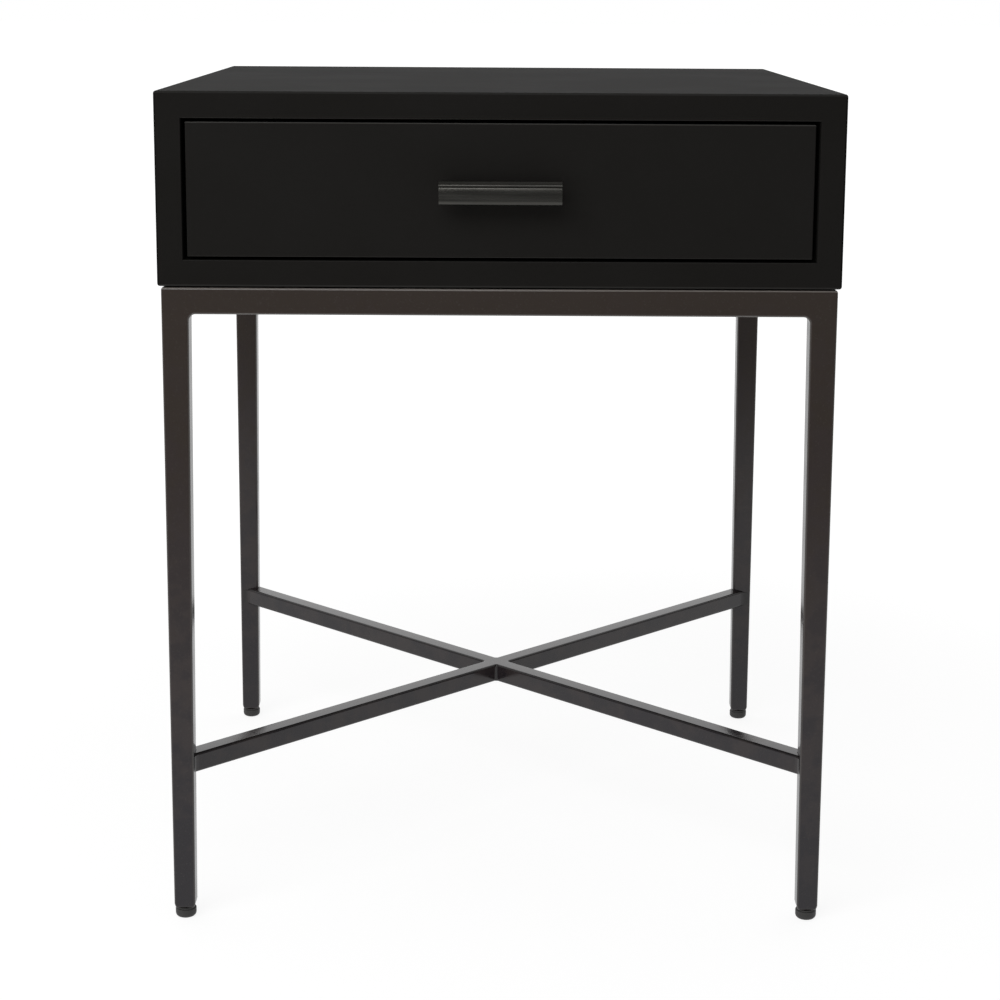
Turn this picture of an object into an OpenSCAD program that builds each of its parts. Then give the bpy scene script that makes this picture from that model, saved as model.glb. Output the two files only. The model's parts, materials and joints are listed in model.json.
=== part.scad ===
// Side table: a mitred cabinet with one inset drawer on a welded square-tube base.
// +X is to the right, -Y is towards the user and +Z is up. The origin is on the floor,
// under the middle of the overall box, with the handle counted in.

/* [Table] */
// Width of the cabinet
table_w = 500; // [440:5:600]
// Depth of the cabinet, without the handle
table_d = 500; // [470:5:600]
// Height of the top above the floor
table_h = 633; // [520:1:760]

/* [Cabinet] */
// Height of the cabinet box
cabinet_h = 141.5; // [125:0.5:200]
// Thickness of the four mitred panels
panel_t = 19.5; // [18:0.5:25]
// Radius on the cabinet's outer edges
edge_r = 1.5; // [0.5:0.5:3]
// Thickness of the back panel
back_t = 6; // [4:0.5:9]
// How far the back panel laps onto the ledge round the opening
back_lap = 8; // [7:0.5:10]
// How far the back panel lies inside the rear edge
back_recess = 0.5; // [0:0.5:3]
// Width of the splines across the mitres
spline_w = 12; // [8:1:14]
// Thickness of the splines
spline_t = 3; // [2:0.5:4]
// How far the splines stop short of the front and rear edges
spline_stop = 22; // [18:1:60]

/* [Base frame] */
// How far the frame stands in from the cabinet's sides
frame_inset = 2.25; // [0:0.25:20]
// Open reveal between the frame and the cabinet
reveal = 1; // [0.5:0.5:6]
// Section of the top rails and of the legs at their top
tube_w = 20; // [18:0.5:30]
// Wall of the tubes
tube_wall = 1.5; // [1:0.25:2.5]
// Radius on the tubes' edges
tube_r = 1.5; // [0.5:0.25:2.5]
// Section of the legs at their foot
leg_foot_w = 16; // [15:0.5:18]
// Section of the stretcher bars
stretcher_w = 15; // [12:0.5:18]
// Height of the stretcher's upper face
stretcher_top = 131; // [80:1:260]

/* [Feet] */
// Diameter of a foot's pad
pad_d = 16; // [14:0.5:22]
// Height of a foot's pad
pad_h = 7; // [5:0.5:12]
// Radius on the pad's lower edge
pad_r = 2.5; // [1:0.5:3]
// Height of the neck between pad and leg
neck_h = 1.2; // [0.6:0.2:3]
// Length of the plug inside the leg
plug_l = 14; // [8:1:30]

/* [Cabinet fixing] */
// Length of a corner plate's short sides
plate_l = 46; // [40:1:70]
// Thickness of the corner plates
plate_t = 3; // [2:0.5:5]
// Distance of the bolt from the frame's inner faces
bolt_in = 14; // [12:0.5:18]
// Diameter of the bolts
bolt_d = 6; // [5:0.5:8]
// Length of the bolts under the head
bolt_l = 16; // [14:1:19]
// Diameter of the threaded inserts
insert_d = 10; // [9:0.5:12]
// Length of the threaded inserts
insert_l = 13; // [10:0.5:15]
// Diameter of the spacer washers
spacer_d = 18; // [14:0.5:20]

/* [Drawer front and handle] */
// Gap at each side of the drawer front
side_gap = 3; // [1.5:0.5:4]
// Gap above and below the drawer front
top_gap = 2.5; // [1.5:0.5:4]
// Thickness of the drawer front
front_t = 18; // [15:0.5:22]
// Length of the handle bar
handle_l = 88.5; // [80:0.5:200]
// Height of the handle bar
handle_h = 17; // [15:0.5:22]
// How far the handle stands out from the drawer front
handle_reach = 24; // [20:0.5:36]
// Depth of the handle bar, front to back
bar_d = 11; // [9:0.5:13]
// Radius on the bar's lower front edge
bar_roll = 4; // [2:0.5:5]
// Radius of the bar's upper front edge and of the bead above it
bead_r = 1; // [0.6:0.1:1.2]
// Distance between the handle's two posts
post_pitch = 64; // [48:1:72]
// Diameter of the posts
post_d = 9; // [7:0.5:12]

/* [Drawer box] */
// Thickness of the box's sides, front and back
side_t = 12; // [11:0.5:15]
// Height of the box
box_h = 78; // [60:1:82]
// Length of the box, front to back
box_l = 430; // [415:1:440]
// Height of the box above the cabinet's floor
box_lift = 10; // [6:1:14]
// Thickness of the box's bottom
bottom_t = 6; // [4:0.5:8]
// Depth of the groove that holds the bottom
groove_d = 6; // [4:0.5:7]
// Height of the groove above the box's lower edge
groove_lift = 8; // [6:1:14]

/* [Runners] */
// Length of the runners
runner_l = 400; // [360:5:410]
// How far the runners start behind the drawer front
runner_set = 12; // [2:1:15]
// Height of the outer members
runner_h = 35; // [30:1:45]
// Thickness of a runner, both members together
runner_w = 12.7; // [12:0.1:14]
// Thickness of the runners' sheet steel
sheet_t = 1.2; // [1:0.1:1.5]
// Diameter of the bearing balls
ball_d = 4; // [3:0.25:4.5]
// Balls in each row
ball_count = 6; // [4:1:8]
// Distance between the balls in a row
ball_pitch = 16; // [8:1:18]
// Travel of the drawer
travel = 300; // [200:5:300]

/* [Screws] */
// Shank diameter of the wood screws
screw_d = 3.5; // [3:0.1:4]
// Length of the wood screws
screw_l = 11; // [9:0.5:11.5]
// Shank diameter of the machine screws in the front and the handle
machine_d = 4; // [3.5:0.5:5]
// Height of the pan heads
head_h = 2.4; // [1.8:0.2:3]

/* [Fits] */
// Gap between joined wooden pieces and between running pieces
fit_gap = 0.3; // [0.2:0.05:0.5]
// Clearance round screws and inserts, on the radius
screw_gap = 0.05; // [0.02:0.01:0.1]
// Gap between the balls and their races
race_gap = 0.1; // [0.05:0.01:0.15]
// Gap that the weld bridges between stretcher and leg
weld_gap = 0.1; // [0.05:0.05:0.3]

/* [Hidden] */

$fn = 32;
lacquer = "#1e1d1c";
bronze = "#3b3733";
plastic = "#2a2928";
zinc = "#a9abac";
steel = "#8f9294";
brass = "#b59a57";
plywood = "#c9ab7c";
over = 1;       // how far a cut runs past the face that it opens
sliver = 0.01;  // thickness of the end sections that a tapered tube spans

// Cabinet
front_y = -(table_d - handle_reach) / 2;
back_y = front_y + table_d;
mid_y = (front_y + back_y) / 2;
cabinet_z = table_h - cabinet_h;
open_w = table_w - 2 * panel_t;
open_z0 = cabinet_z + panel_t;
open_z1 = table_h - panel_t;
back_face_y = back_y - back_recess;
ledge_y = back_face_y - back_t;
spline_in = 0.33 * panel_t * sqrt(2);

// Back screws: three above and below, one at each side
back_screw_x = open_w / 2 - 30;
back_screw_at = [
    for (x = [-back_screw_x, 0, back_screw_x], z = [open_z0 - back_lap / 2, open_z1 + back_lap / 2]) [x, z],
    for (side = [-1, 1]) [side * (open_w + back_lap) / 2, (open_z0 + open_z1) / 2]
];
back_shank_d = screw_d - 0.7;
back_head_d = 2 * back_shank_d;
back_head_h = back_shank_d / 2;
back_screw_l = back_t + screw_l;

// Base frame
frame_w = table_w - 2 * frame_inset;
frame_d = table_d - 2 * frame_inset;
frame_top = cabinet_z - reveal;
rail_z = frame_top - tube_w;
leg_z = pad_h + neck_h;
function leg_w_at(z) = leg_foot_w + (tube_w - leg_foot_w) * (z - leg_z) / (rail_z - leg_z);

// Stretcher: its bars run into the inner corners of the legs
seat_w = leg_w_at(stretcher_top) + weld_gap;
seat_x = frame_w / 2 - seat_w;
seat_y = frame_d / 2 - seat_w;
cross_angle = atan2(seat_y, seat_x);
cross_l = sqrt(pow(frame_w, 2) + pow(frame_d, 2));

// Feet
plug_d = leg_foot_w - 2 * tube_wall - 2 * race_gap;
neck_d = leg_foot_w - tube_wall;

// Cabinet fixing: the plates sit just under the rounding of the rails
plate_z = frame_top - tube_r - plate_t;
bolt_x = frame_w / 2 - tube_w - bolt_in;
bolt_y = frame_d / 2 - tube_w - bolt_in;
bolt_head_d = 1.75 * bolt_d;
bolt_head_h = 0.65 * bolt_d;
bolt_hole_d = bolt_d + 2 * fit_gap;
socket_d = 0.75 * bolt_d;

// Drawer front and handle
front_w = open_w - 2 * side_gap;
front_z0 = open_z0 + top_gap;
front_z1 = open_z1 - top_gap;
handle_z = (front_z0 + front_z1) / 2;
post_l = handle_reach - bar_d;
bar_front_y = front_y - handle_reach;
bar_back_y = front_y - post_l;
bar_tap = 0.65 * bar_d;
handle_screw_l = side_t + front_t + post_l + bar_tap;

// Drawer box
box_w = open_w - 2 * runner_w;
box_z = open_z0 + box_lift;
box_y0 = front_y + front_t;
box_y1 = box_y0 + box_l;
inner_w = box_w - 2 * side_t;
groove_z = box_z + groove_lift;

// Runners, in a section whose x is the distance from the cabinet's side
runner_z = box_z + box_h / 2;
runner_y0 = box_y0 + runner_set;
inner_h = runner_h - 2 * (sheet_t + ball_d + 2 * race_gap);
inner_x = sheet_t + 4 * fit_gap;
ball_z = runner_h / 2 - sheet_t - race_gap - ball_d / 2;
ball_x = inner_x + sheet_t + fit_gap + ball_d / 2;
outer_x = ball_x + ball_d / 2 + fit_gap + sheet_t;
cage_t = sheet_t / 2;
lip_h = ball_d / 2 - cage_t / 2 - fit_gap;
cage_x = sheet_t + fit_gap;
cage_l = ball_count * ball_pitch;
cage_y1 = runner_y0 + travel / 2 + cage_l + 2;
ball_hole_d = ball_d + 2 * race_gap;
runner_screw_y = [for (part = [0.06, 0.5, 0.94]) runner_y0 + part * runner_l];
pan_d = 2 * screw_d;
machine_head_d = 2 * machine_d;
front_screw_x = inner_w / 2 - 40;
front_screw_l = side_t + 0.6 * front_t;

// ---------------------------------------------------------------- shapes

module block(x, y, z) {
    translate([x[0], y[0], z[0]])
        cube([x[1] - x[0], y[1] - y[0], z[1] - z[0]]);
}

module rounded_rect(w, h, r) {
    translate([r, 0])
        square([w - 2 * r, h]);
    translate([0, r])
        square([w, h - 2 * r]);
    for (x = [r, w - r], y = [r, h - r])
        translate([x, y])
            circle(r);
}

// Extrudes a section in x and z along Y
module along_y(y0, y1) {
    translate([0, y1, 0])
        rotate([90, 0, 0])
            linear_extrude(y1 - y0)
                children();
}

// Places a piece drawn with its outer corner at the origin, running inwards, at a corner of the frame
module at_corner(side, end) {
    translate([side * frame_w / 2, mid_y + end * frame_d / 2, 0])
        mirror([side > 0 ? 1 : 0, 0, 0])
            mirror([0, end > 0 ? 1 : 0, 0])
                children();
}

// Places a piece drawn outwards from a cabinet side, with x inwards and z from the runner's middle
module at_runner(side) {
    translate([side * open_w / 2, 0, runner_z])
        mirror([side > 0 ? 1 : 0, 0, 0])
            children();
}

// Screws stand on their axis with the head's outer face at z = 0 and the shank below
module countersunk(d, head_d, head, length, gap = 0) {
    translate([0, 0, -head])
        cylinder(d1 = d + 2 * gap, d2 = head_d + 2 * gap, h = head);
    translate([0, 0, -length])
        cylinder(d = d + 2 * gap, h = length);
}

module pan_screw(d, head_d, length) {
    difference() {
        union() {
            translate([0, 0, -head_h])
                cylinder(d = head_d, h = head_h);
            translate([0, 0, -head_h - length])
                cylinder(d = d, h = length + head_h);
        }
        for (turn = [0, 90])
            rotate([0, 0, turn])
                translate([-head_d / 3, -head_d / 16, -head_h / 2])
                    cube([head_d / 1.5, head_d / 8, head_h]);
    }
}

// ---------------------------------------------------------------- base frame

module tapered_tube(top_w, foot_w, r, extra) {
    hull() {
        translate([(tube_w - top_w) / 2, (tube_w - top_w) / 2, rail_z + extra - sliver])
            linear_extrude(sliver)
                rounded_rect(top_w, top_w, r);
        translate([(leg_foot_w - foot_w) / 2, (leg_foot_w - foot_w) / 2, leg_z - extra])
            linear_extrude(sliver)
                rounded_rect(foot_w, foot_w, r);
    }
}

// The outer faces are upright and the two inner faces taper towards the foot
module leg(side, end) {
    color(bronze)
        at_corner(side, end)
            difference() {
                tapered_tube(tube_w, leg_foot_w, tube_r, 0, $fn = 24);
                tapered_tube(tube_w - 2 * tube_wall, leg_foot_w - 2 * tube_wall, tube_r / 3, over, $fn = 24);
            }
}

module tube_section(w) {
    difference() {
        rounded_rect(w, w, tube_r);
        translate([tube_wall, tube_wall])
            square(w - 2 * tube_wall);
    }
}

// A rail of the top ring, mitred at both ends, with its outer face on y = 0
module rail(length) {
    color(bronze)
        translate([0, 0, rail_z])
            intersection() {
                translate([-length / 2, 0, 0])
                    rotate([90, 0, 90])
                        linear_extrude(length)
                            tube_section(tube_w);
                linear_extrude(tube_w)
                    polygon([
                        [-length / 2, 0], [length / 2, 0],
                        [length / 2 - tube_w, tube_w], [-length / 2 + tube_w, tube_w]
                    ]);
            }
}

module rail_front() {
    translate([0, mid_y - frame_d / 2, 0])
        rail(frame_w);
}

module rail_back() {
    translate([0, mid_y + frame_d / 2, 0])
        rotate([0, 0, 180])
            rail(frame_w);
}

module rail_left() {
    translate([-frame_w / 2, mid_y, 0])
        rotate([0, 0, -90])
            rail(frame_d);
}

module rail_right() {
    translate([frame_w / 2, mid_y, 0])
        rotate([0, 0, 90])
            rail(frame_d);
}

// The plan between the legs, whose inner corners notch the ends of the bars
module between_legs() {
    translate([0, mid_y, stretcher_top - stretcher_w]) {
        block([-seat_x, seat_x], [-frame_d / 2, frame_d / 2], [0, stretcher_w]);
        block([-frame_w / 2, frame_w / 2], [-seat_y, seat_y], [0, stretcher_w]);
    }
}

module diagonal(angle) {
    translate([0, mid_y, stretcher_top - stretcher_w])
        rotate([0, 0, angle])
            translate([-cross_l / 2, -stretcher_w / 2, 0])
                children();
}

module diagonal_tube(angle) {
    intersection() {
        diagonal(angle)
            rotate([90, 0, 90])
                linear_extrude(cross_l)
                    tube_section(stretcher_w);
        between_legs();
    }
}

module stretcher_long() {
    color(bronze)
        diagonal_tube(cross_angle);
}

// The other diagonal is two half bars that butt against the long one
module stretcher_half(end) {
    color(bronze)
        intersection() {
            difference() {
                diagonal_tube(-cross_angle);
                diagonal(cross_angle)
                    cube([cross_l, stretcher_w, stretcher_w]);
            }
            translate([0, mid_y, stretcher_top - stretcher_w])
                block([-frame_w / 2, frame_w / 2], [min(0, end) * frame_d, max(0, end) * frame_d], [0, stretcher_w]);
        }
}

// A moulded glide: pad, neck and a ribbed plug that is pressed into the leg
module foot(side, end) {
    color(plastic)
        at_corner(side, end)
            translate([leg_foot_w / 2, leg_foot_w / 2, 0]) {
                rotate_extrude() {
                    square([pad_d / 2 - pad_r, pad_h]);
                    translate([0, pad_r])
                        square([pad_d / 2, pad_h - pad_r]);
                    translate([pad_d / 2 - pad_r, pad_r])
                        circle(pad_r);
                }
                translate([0, 0, pad_h - sliver])
                    cylinder(d = neck_d, h = neck_h + sliver);
                translate([0, 0, leg_z - sliver])
                    cylinder(d = plug_d - 1, h = plug_l);
                for (rib = [0.2, 0.5, 0.8])
                    translate([0, 0, leg_z + rib * plug_l])
                        cylinder(d = plug_d, h = plug_l / 10);
            }
}

// ---------------------------------------------------------------- cabinet fixing

module corner_plate(side, end) {
    inner = tube_w;
    color(bronze)
        difference() {
            at_corner(side, end)
                translate([inner, inner, plate_z])
                    linear_extrude(plate_t)
                        polygon([[0, 0], [plate_l, 0], [plate_l, plate_l / 4], [plate_l / 4, plate_l], [0, plate_l]]);
            at_bolt(side, end, plate_z - over)
                cylinder(d = bolt_hole_d, h = plate_t + 2 * over);
        }
}

module at_bolt(side, end, z) {
    translate([side * bolt_x, mid_y + end * bolt_y, z])
        children();
}

module at_bolts(z) {
    for (side = [-1, 1], end = [-1, 1])
        at_bolt(side, end, z)
            children();
}

module cabinet_bolts() {
    color(zinc)
        at_bolts(plate_z)
            difference() {
                union() {
                    translate([0, 0, -bolt_head_h])
                        cylinder(d = bolt_head_d, h = bolt_head_h);
                    translate([0, 0, -sliver])
                        cylinder(d = bolt_d, h = bolt_l + sliver);
                }
                translate([0, 0, -bolt_head_h - over])
                    cylinder(d = socket_d, h = bolt_head_h / 2 + over, $fn = 6);
            }
}

module spacer_washers() {
    color(plastic)
        at_bolts(plate_z + plate_t)
            difference() {
                cylinder(d = spacer_d, h = cabinet_z - plate_z - plate_t);
                translate([0, 0, -over])
                    cylinder(d = bolt_hole_d, h = cabinet_z - plate_z + 2 * over);
            }
}

module threaded_inserts() {
    color(brass)
        at_bolts(cabinet_z)
            difference() {
                cylinder(d = insert_d, h = insert_l);
                translate([0, 0, -over])
                    cylinder(d = bolt_d + 2 * screw_gap, h = insert_l + 2 * over);
            }
}

module insert_holes() {
    at_bolts(cabinet_z - over)
        cylinder(d = insert_d + 2 * screw_gap, h = insert_l + fit_gap + over);
}

// ---------------------------------------------------------------- cabinet

// The whole cabinet block with all its outer edges rounded
module cabinet_block() {
    intersection() {
        translate([-table_w / 2, 0, cabinet_z])
            along_y(front_y, back_y)
                rounded_rect(table_w, cabinet_h, edge_r);
        translate([-table_w / 2, front_y, cabinet_z])
            linear_extrude(cabinet_h)
                rounded_rect(table_w, table_d, edge_r);
        translate([-table_w / 2, front_y, cabinet_z])
            rotate([90, 0, 90])
                linear_extrude(table_w)
                    rounded_rect(table_d, cabinet_h, edge_r);
    }
}

// A mitred panel: the block cut to the panel's section, less the splines' grooves and the back's ledge
module panel(section) {
    color(lacquer)
        difference() {
            intersection() {
                cabinet_block();
                along_y(front_y, back_y)
                    polygon(section);
            }
            splines(fit_gap / 3);
            block(
                [-open_w / 2 - back_lap, open_w / 2 + back_lap],
                [ledge_y, back_y + over],
                [open_z0 - back_lap, open_z1 + back_lap]
            );
            back_screw_set(screw_gap);
        }
}

module splines(gap) {
    for (side = [-1, 1], end = [-1, 1])
        translate([side * open_w / 2, 0, end > 0 ? open_z1 : open_z0])
            rotate([0, side * end * 45, 0])
                translate([0, 0, end * spline_in])
                    block(
                        [-spline_w / 2 - gap, spline_w / 2 + gap],
                        [front_y + spline_stop - gap, back_y - spline_stop + gap],
                        [-spline_t / 2 - gap, spline_t / 2 + gap]
                    );
}

module mitre_splines() {
    color(plywood)
        splines(0);
}

module top_panel() {
    panel([
        [-table_w / 2, table_h], [table_w / 2, table_h],
        [open_w / 2, open_z1], [-open_w / 2, open_z1]
    ]);
}

module bottom_panel() {
    color(lacquer)
        difference() {
            panel([
                [-table_w / 2, cabinet_z], [table_w / 2, cabinet_z],
                [open_w / 2, open_z0], [-open_w / 2, open_z0]
            ]);
            insert_holes();
        }
}

module side_panel(side) {
    color(lacquer)
        difference() {
            panel([
                [side * table_w / 2, cabinet_z], [side * table_w / 2, table_h],
                [side * open_w / 2, open_z1], [side * open_w / 2, open_z0]
            ]);
            outer_screw_set(side, screw_gap);
        }
}

module back_screw_set(gap) {
    for (at = back_screw_at)
        translate([at[0], back_face_y, at[1]])
            rotate([-90, 0, 0])
                countersunk(back_shank_d, back_head_d, back_head_h, back_screw_l + gap, gap);
}

module back_panel() {
    edge = back_lap - fit_gap;
    color(lacquer)
        difference() {
            block(
                [-open_w / 2 - edge, open_w / 2 + edge],
                [ledge_y, back_face_y],
                [open_z0 - edge, open_z1 + edge]
            );
            back_screw_set(screw_gap);
        }
}

module back_screws() {
    color(zinc)
        back_screw_set(0);
}

// ---------------------------------------------------------------- runners

// Half of a runner's section, drawn above the middle and mirrored below it
module both_ways() {
    children();
    mirror([0, 1])
        children();
}

module outer_section() {
    both_ways() {
        square([sheet_t, runner_h / 2]);
        translate([0, runner_h / 2 - sheet_t])
            square([outer_x, sheet_t]);
        translate([outer_x - sheet_t, runner_h / 2 - sheet_t - lip_h])
            square([sheet_t, sheet_t + lip_h]);
    }
}

module inner_section() {
    both_ways() {
        translate([runner_w - sheet_t, 0])
            square([sheet_t, inner_h / 2]);
        translate([inner_x, inner_h / 2 - sheet_t])
            square([runner_w - inner_x, sheet_t]);
        translate([inner_x, inner_h / 2 - sheet_t])
            square([sheet_t, sheet_t + lip_h]);
    }
}

module cage_section() {
    both_ways() {
        translate([cage_x, 0])
            square([cage_t, ball_z + cage_t / 2]);
        translate([cage_x, ball_z - cage_t / 2])
            square([outer_x - sheet_t - cage_x, cage_t]);
    }
}

module outer_screw_set(side, gap) {
    at_runner(side)
        for (y = runner_screw_y)
            translate([sheet_t, y, 0])
                rotate([0, 90, 0])
                    countersunk(screw_d, screw_d + 2 * sheet_t, sheet_t, sheet_t + screw_l + gap, gap);
}

module runner_outer(side) {
    color(zinc)
        difference() {
            at_runner(side)
                along_y(runner_y0, runner_y0 + runner_l)
                    outer_section();
            outer_screw_set(side, screw_gap);
        }
}

module runner_outer_screws() {
    color(steel)
        for (side = [-1, 1])
            outer_screw_set(side, 0);
}

module at_inner_screws(side) {
    at_runner(side)
        for (y = runner_screw_y)
            translate([runner_w - sheet_t - head_h, y, 0])
                rotate([0, -90, 0])
                    children();
}

module inner_screw_holes(side) {
    at_inner_screws(side)
        translate([0, 0, -head_h - sheet_t - screw_l + sheet_t])
            cylinder(d = screw_d + 2 * screw_gap, h = screw_l + head_h);
}

module runner_inner(side) {
    color(zinc)
        difference() {
            at_runner(side)
                along_y(runner_y0, runner_y0 + runner_l)
                    inner_section();
            inner_screw_holes(side);
        }
}

module runner_inner_screws() {
    color(steel)
        for (side = [-1, 1])
            at_inner_screws(side)
                pan_screw(screw_d, pan_d, screw_l - fit_gap);
}

module at_balls(side) {
    at_runner(side)
        for (i = [0 : ball_count - 1], end = [-1, 1])
            translate([ball_x, cage_y1 - ball_pitch * (i + 0.5), end * ball_z])
                children();
}

module ball_cage(side) {
    color(steel)
        difference() {
            at_runner(side)
                along_y(cage_y1 - cage_l, cage_y1)
                    cage_section();
            at_balls(side)
                translate([0, 0, -cage_t])
                    cylinder(d = ball_hole_d, h = 2 * cage_t);
        }
}

module balls(side) {
    color(zinc)
        at_balls(side)
            sphere(d = ball_d, $fn = 24);
}

// ---------------------------------------------------------------- drawer

module at_front_screws() {
    for (side = [-1, 1], z = [box_z + box_h / 3, box_z + 2 * box_h / 3])
        translate([side * front_screw_x, box_y0 + side_t, z])
            rotate([-90, 0, 0])
                children();
}

module at_handle_screws() {
    for (side = [-1, 1])
        translate([side * post_pitch / 2, box_y0 + side_t, handle_z])
            rotate([-90, 0, 0])
                children();
}

module front_holes() {
    at_front_screws()
        translate([0, 0, -front_screw_l - screw_gap])
            cylinder(d = machine_d + 2 * screw_gap, h = front_screw_l + over);
    at_handle_screws()
        translate([0, 0, -handle_screw_l - screw_gap])
            cylinder(d = machine_d + 2 * screw_gap, h = handle_screw_l + over);
}

module drawer_front() {
    color(lacquer)
        difference() {
            block([-front_w / 2, front_w / 2], [front_y, box_y0], [front_z0, front_z1]);
            front_holes();
        }
}

// What the box's walls give up to the bottom, which sits in a groove in all four
module bottom_groove(gap) {
    hold = groove_d - fit_gap + gap;
    block(
        [-inner_w / 2 - hold, inner_w / 2 + hold],
        [box_y0 + side_t - hold, box_y1 - side_t + hold],
        [groove_z - gap / 3, groove_z + bottom_t + gap / 3]
    );
}

module box_wall(x, y) {
    color(plywood)
        difference() {
            block(x, y, [box_z, box_z + box_h]);
            bottom_groove(fit_gap);
            front_holes();
        }
}

module box_front() {
    box_wall([-inner_w / 2, inner_w / 2], [box_y0, box_y0 + side_t]);
}

module box_back() {
    box_wall([-inner_w / 2, inner_w / 2], [box_y1 - side_t, box_y1]);
}

module box_side(side) {
    color(plywood)
        difference() {
            box_wall(side < 0 ? [-box_w / 2, -inner_w / 2] : [inner_w / 2, box_w / 2], [box_y0, box_y1]);
            inner_screw_holes(side);
        }
}

module box_bottom() {
    color(plywood)
        bottom_groove(0);
}

module front_screws() {
    color(zinc)
        at_front_screws()
            translate([0, 0, head_h])
                pan_screw(machine_d, machine_head_d, front_screw_l);
}

module handle_screws() {
    color(zinc)
        at_handle_screws()
            translate([0, 0, head_h])
                pan_screw(machine_d, machine_head_d, handle_screw_l);
}

// Section of the bar: a flat front with a rolled lower edge and, above it, a groove and a small bead.
// x is the distance from the bar's back and y the height above its underside.
module bar_section() {
    front_h = handle_h - 4 * bead_r;
    square([bar_d - bar_roll, front_h]);
    translate([0, bar_roll])
        square([bar_d - bead_r, front_h - bar_roll]);
    translate([0, bar_roll])
        square([bar_d, front_h - bar_roll - bead_r]);
    translate([bar_d - bar_roll, bar_roll])
        circle(bar_roll);
    translate([bar_d - bead_r, front_h - bead_r])
        circle(bead_r, $fn = 24);
    translate([bar_d - 2 * bead_r, handle_h - 2 * bead_r])
        circle(bead_r, $fn = 24);
    square([bar_d - 2 * bead_r, handle_h - bead_r]);
    square([bar_d - 3 * bead_r, handle_h]);
}

module handle_bar() {
    color(bronze)
        difference() {
            translate([-handle_l / 2, bar_back_y, handle_z - handle_h / 2])
                rotate([90, 0, 90])
                    linear_extrude(handle_l)
                        mirror([1, 0])
                            bar_section();
            front_holes();
        }
}

module handle_posts() {
    color(bronze)
        for (side = [-1, 1])
            translate([side * post_pitch / 2, front_y, handle_z])
                rotate([90, 0, 0])
                    difference() {
                        cylinder(d = post_d, h = post_l);
                        translate([0, 0, -over])
                            cylinder(d = machine_d + 2 * screw_gap, h = post_l + 2 * over);
                    }
}

// ---------------------------------------------------------------- nodes

leg(-1, -1);  // leg_front_left
leg(1, -1);  // leg_front_right
leg(-1, 1);  // leg_back_left
leg(1, 1);  // leg_back_right
rail_front();
rail_back();
rail_left();
rail_right();
stretcher_long();
stretcher_half(-1);  // stretcher_half_front
stretcher_half(1);  // stretcher_half_back
foot(-1, -1);  // foot_front_left
foot(1, -1);  // foot_front_right
foot(-1, 1);  // foot_back_left
foot(1, 1);  // foot_back_right
corner_plate(-1, -1);  // corner_plate_front_left
corner_plate(1, -1);  // corner_plate_front_right
corner_plate(-1, 1);  // corner_plate_back_left
corner_plate(1, 1);  // corner_plate_back_right
cabinet_bolts();
spacer_washers();
threaded_inserts();
top_panel();
bottom_panel();
side_panel(-1);  // left_panel
side_panel(1);  // right_panel
mitre_splines();
back_panel();
back_screws();
runner_outer(-1);  // runner_outer_left
runner_outer(1);  // runner_outer_right
runner_outer_screws();
ball_cage(-1);  // ball_cage_left
ball_cage(1);  // ball_cage_right
balls(-1);  // balls_left
balls(1);  // balls_right
runner_inner(-1);  // runner_inner_left
runner_inner(1);  // runner_inner_right
runner_inner_screws();
drawer_front();
box_front();
box_side(-1);  // box_side_left
box_side(1);  // box_side_right
box_back();
box_bottom();
front_screws();
handle_bar();
handle_posts();
handle_screws();
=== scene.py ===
# Side table with one drawer: the looks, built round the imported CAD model.
# Metres, +Z up, -Y towards the user. A piece's place comes from the CAD node that it stands for.
import json
import math

import bmesh
import bpy
from mathutils import Matrix, Vector


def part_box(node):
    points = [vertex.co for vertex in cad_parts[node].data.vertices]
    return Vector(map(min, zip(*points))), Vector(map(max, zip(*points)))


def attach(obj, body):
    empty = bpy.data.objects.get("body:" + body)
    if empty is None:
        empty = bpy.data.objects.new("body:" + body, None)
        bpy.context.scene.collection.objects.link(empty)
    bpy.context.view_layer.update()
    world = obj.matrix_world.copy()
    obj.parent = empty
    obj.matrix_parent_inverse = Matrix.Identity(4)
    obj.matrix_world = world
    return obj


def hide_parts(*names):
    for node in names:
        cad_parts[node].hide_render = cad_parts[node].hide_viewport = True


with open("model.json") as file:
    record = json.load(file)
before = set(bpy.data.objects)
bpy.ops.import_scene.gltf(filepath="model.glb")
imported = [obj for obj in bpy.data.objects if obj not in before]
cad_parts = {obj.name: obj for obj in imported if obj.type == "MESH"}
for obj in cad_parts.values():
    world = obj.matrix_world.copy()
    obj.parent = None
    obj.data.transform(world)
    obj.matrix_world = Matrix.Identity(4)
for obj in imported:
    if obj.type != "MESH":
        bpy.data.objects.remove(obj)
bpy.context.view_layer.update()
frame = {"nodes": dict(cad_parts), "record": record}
nodes = frame["nodes"]
print("frame loaded:", len(nodes), "nodes")

mm = 0.001
samePlace = 1e-6  # two places this close count as one
nearPlace = 1e-5  # the same, more loosely
cutSnap = 1e-7    # a cut this close to a point runs through it
faceOn = 0.9      # a face looks along an axis when that part of its normal is over this
sharp = 50        # an edge is sharp when its faces turn by more degrees than this


# ---- camera

camera = {
    "place": (-0.0077, -1.844, 0.7084),
    "yaw": 0.005177,
    "pitch": 0.1846,
    "roll": 0.005913,
    "lens": 79.88,
    "shiftY": -0.1,
    "clipEnd": 100,
}


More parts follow.
